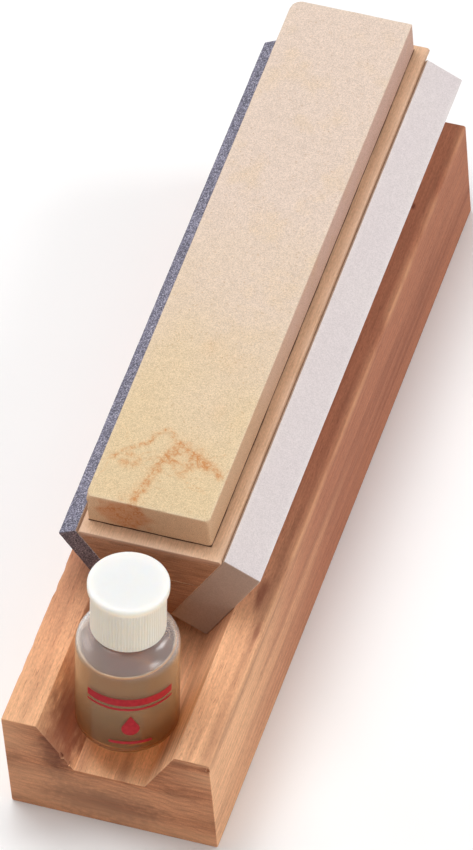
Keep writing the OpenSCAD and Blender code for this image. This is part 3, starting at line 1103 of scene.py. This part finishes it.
def build_cap(place, material):
    """The screw cap: a ribbed skirt with a thread inside, under a flared, dished lid."""
    lid = CAP_TOP - CAP_LID_T
    rim_z = CAP_TOP - RIM_H
    skirt_top = rim_z - RIM_FLARE
    corners = [
        (0, lid, 0),
        (CAP_BORE_R, lid, 0.25),
        (CAP_BORE_R, CAP_BOTTOM, 0.25),
        (CAP_R, CAP_BOTTOM, 0.25),
        (CAP_R, skirt_top, 0.3),
        (RIM_R, rim_z, 0.35),
        (RIM_R, CAP_TOP, 0.8),
        (0, CAP_TOP, 0),
    ]
    start = THREAD_Z - PITCH / 2
    threaded = (start - 1, start + PITCH * CAP_THREAD_TURNS + 1, 0.3)
    outline = refined(filleted(corners, closed=False), 1.1, fine=threaded)

    def shape(radius, height, angle):
        if radius > CAP_BORE_R + 0.4:
            fade = min(1.0, (height - CAP_BOTTOM) / 0.5, max(0.0, skirt_top - height) / 0.6)
            groove = (0.5 - 0.5 * math.cos(RIBS * angle)) ** 1.4
            return radius - RIB_DEPTH * 0.6 * groove * max(0.0, fade)
        if radius > CAP_BORE_R - 0.05:
            lift = thread_height(angle, height, start, CAP_THREAD_TURNS)
            return radius - THREAD_H * lift
        return radius

    points, faces = revolved(outline, RIBS * 6, shape=shape)
    away = np.hypot(points[:, 0], points[:, 1])
    on_lid = points[:, 2] > CAP_TOP - 0.01
    dish = 0.18 * np.clip(1 - away / (RIM_R - 1.6), 0, 1) ** 0.5
    points[:, 2] -= np.where(on_lid, dish, 0)
    piece = new_object("ribbed_cap", new_mesh("ribbed_cap", points, faces), place)
    show(piece, "cap", "screw_cap", material)


def build_bottle_group():
    """The bottle, all that is in it and the cap. The print keeps its CAD mesh."""
    place = bottle_frame()
    white = white_plastic()
    build_bottle(place)
    build_oil(place)
    build_meniscus_highlight(place)
    build_plug(place, white)
    build_liner(place)
    build_cap(place, white)
    dress(frame["nodes"]["printed_mark"].data, red_print())


# ---- studio


def build_floor():
    """A pale sheet that the object stands on."""
    s = Surface("pale_floor", {"Specular IOR Level": 0.2})
    base = s.mix(s.noise(60), colour(246, 246, 246), colour(250, 250, 250))
    s.raise_by(s.noise(1.5), 0.01)
    paper = s.finish(base, scaled(s, s.noise(20), 0.75, 0.9))
    half = 9000.0
    corners = [(-half, -half, 0), (half, -half, 0), (half, half, 0), (-half, half, 0)]
    floor = new_object("studio_floor", new_mesh("studio_floor", corners, [[0, 1, 2, 3]]))
    dress(floor.data, paper)
    floor.visible_glossy = False


# Soft boxes: (name, place, width, power), in metres and watts
LAMPS = [
    ("overhead", (-0.35, 0.35, 1.55), 0.9, 17.8),
    ("key", (1.1, 0.6, 1.1), 0.4, 6),
    ("right_fill", (1.6, -0.6, 0.28), 0.5, 6),
    ("left_fill", (-1.6, -0.2, 0.7), 0.9, 6),
    ("front_fill", (0.3, -1.7, 0.7), 0.9, 6.5),
]
LAMP_AIM = (0, 0, 0.04)


def add_lamp(name, place, width, power):
    """A square soft box that faces the object."""
    lamp = bpy.data.lights.new(name, "AREA")
    lamp.shape, lamp.size, lamp.energy = "SQUARE", width, power
    box = bpy.data.objects.new(name, lamp)
    box.location = place
    box.rotation_euler = (Vector(LAMP_AIM) - Vector(place)).to_track_quat("-Z", "Y").to_euler()
    box.visible_camera = box.visible_transmission = False
    scene.collection.objects.link(box)
    return box


def build_lights():
    """A dim white sky and the soft boxes, of which only the overhead one shows in the oil."""
    world = bpy.data.worlds.new("studio")
    world.use_nodes = True
    sky = world.node_tree.nodes["Background"]
    sky.inputs["Color"].default_value = (1.0, 1.0, 1.0, 1.0)
    sky.inputs["Strength"].default_value = 0.25
    scene.world = world
    boxes = {name: add_lamp(name, *settings) for name, *settings in LAMPS}
    boxes["overhead"].visible_transmission = True
    boxes["front_fill"].visible_glossy = False


def build_camera():
    """A long lens above the near end, a little to the right, turned slightly."""
    azimuth, elevation, roll = (math.radians(a) for a in (22.61, 51.84, -5.64))
    distance, shift_right, shift_up = 2.80184, -0.00316, 0.02242
    back = Vector((
        math.sin(azimuth) * math.cos(elevation),
        -math.cos(azimuth) * math.cos(elevation),
        math.sin(elevation),
    ))
    level = (-back).cross(Vector((0, 0, 1))).normalized()
    upright = level.cross(-back)
    right = level * math.cos(roll) + upright * math.sin(roll)
    up = upright * math.cos(roll) - level * math.sin(roll)
    camera = bpy.data.cameras.new("studio_camera")
    camera.sensor_width = 36.0
    camera.lens = 387.7
    camera.clip_end = 50.0
    mount = bpy.data.objects.new("studio_camera", camera)
    turned = Matrix((right, up, back)).transposed().to_4x4()
    place = back * distance + right * shift_right + up * shift_up
    mount.matrix_world = Matrix.Translation(place) @ turned
    scene.collection.objects.link(mount)
    scene.camera = mount


build_cradle()
build_block()
build_bottle_group()
build_floor()
build_lights()
build_camera()
scene.view_settings.view_transform = "Standard"
